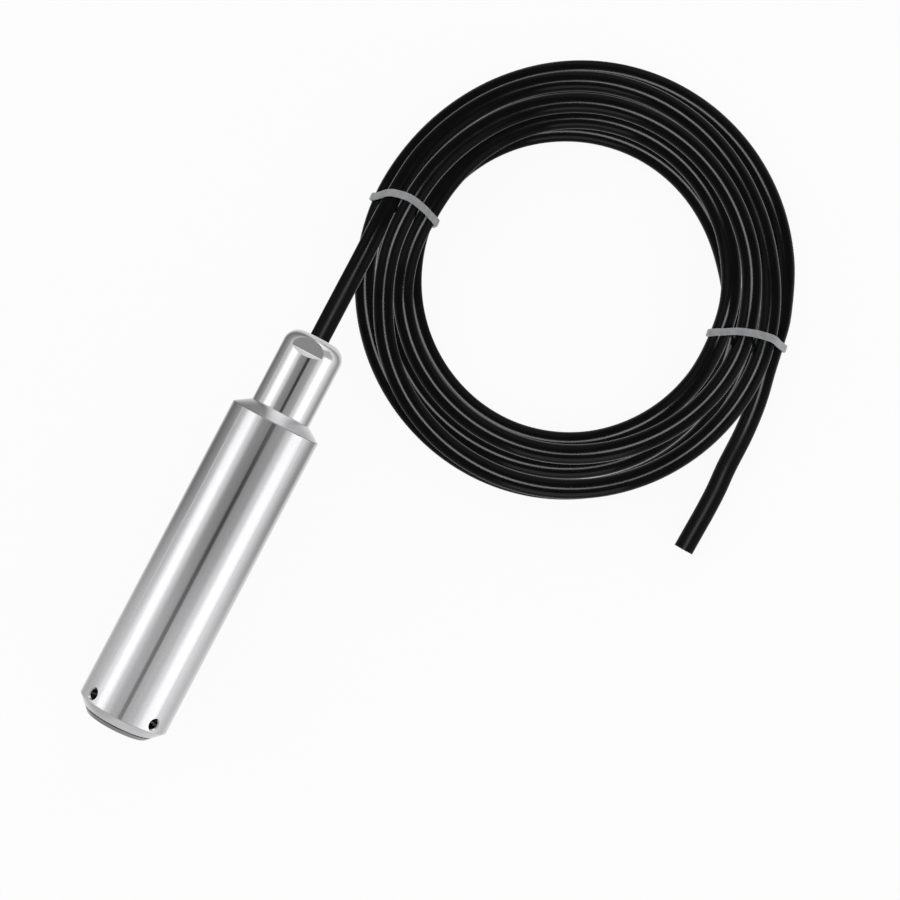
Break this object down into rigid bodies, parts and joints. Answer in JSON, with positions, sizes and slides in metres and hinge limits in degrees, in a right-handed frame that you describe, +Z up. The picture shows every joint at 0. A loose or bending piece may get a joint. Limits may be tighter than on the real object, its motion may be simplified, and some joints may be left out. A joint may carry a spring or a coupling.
{
  "type": "submersible level transmitter",
  "caption": "Slim stainless steel level probe with a chamfered nose, radial pressure ports, a domed cable head with wrench flats, and a black cable wound into a tied coil.",
  "frame": {"origin": "on the surface that the part lies on, under the middle of the probe's length", "axes": "+Y along the probe, from its nose to its cable end; +Z up from the surface it lies on; +X towards the coil"},
  "size_m": [0.1426, 0.2433, 0.028],
  "materials": {
    "housing_steel": "finely turned and polished lengthwise, satin",
    "head_steel": "turned and polished",
    "plug_steel": "turned, satin",
    "sensor_steel": "turned, satin",
    "diaphragm_foil": "bright foil with fine rings",
    "pin_gold": "gold plated",
    "nickel_plate": "nickel plated, satin",
    "crimp_copper": "bare, crimped",
    "seal_rubber": "matt",
    "cable_sheath": "smooth black sheath, satin",
    "tie_nylon": "light grey nylon, slightly translucent",
    "holder_plastic": "moulded",
    "board_laminate": "green solder mask",
    "chip_black": "moulded",
    "trimmer_blue": "moulded",
    "capacitor_can": "drawn can",
    "core_red": "insulation",
    "core_black": "insulation",
    "vent_clear": "milky tube",
    "wire_white": "insulation"
  },
  "bodies": {
    "root": {"housing_tube": "housing_steel", "nose_plug": "plug_steel", "cable_head": "head_steel", "sensor_capsule": "sensor_steel", "sensor_diaphragm": "diaphragm_foil", "sensor_lock_ring": "sensor_steel", "sensor_seal_ring": "seal_rubber", "sensor_pin_1": "pin_gold", "sensor_pin_2": "pin_gold", "sensor_pin_3": "pin_gold", "sensor_pin_4": "pin_gold", "sensor_vent_stub": "nickel_plate", "head_seal_ring": "seal_rubber", "gland_grommet": "seal_rubber", "gland_washer": "nickel_plate", "gland_nut": "nickel_plate", "crimp_ring": "crimp_copper", "cable_inner_end": "cable_sheath", "core_red": "core_red", "core_black": "core_black", "breather_tube": "vent_clear", "lower_board_holder": "holder_plastic", "upper_board_holder": "holder_plastic", "circuit_board": "board_laminate", "amplifier_chip": "chip_black", "supply_regulator": "chip_black", "surge_diode": "chip_black", "zero_trimmer": "trimmer_blue", "span_trimmer": "trimmer_blue", "capacitor_1": "capacitor_can", "capacitor_2": "capacitor_can", "sensor_wire_1": "wire_white", "sensor_wire_2": "wire_white", "sensor_wire_3": "wire_white", "sensor_wire_4": "wire_white", "cable_lead": "cable_sheath", "cable_coil": "cable_sheath", "cable_tail": "cable_sheath", "cable_tie_1": "tie_nylon", "cable_tie_2": "tie_nylon"}
  },
  "joints": []
}
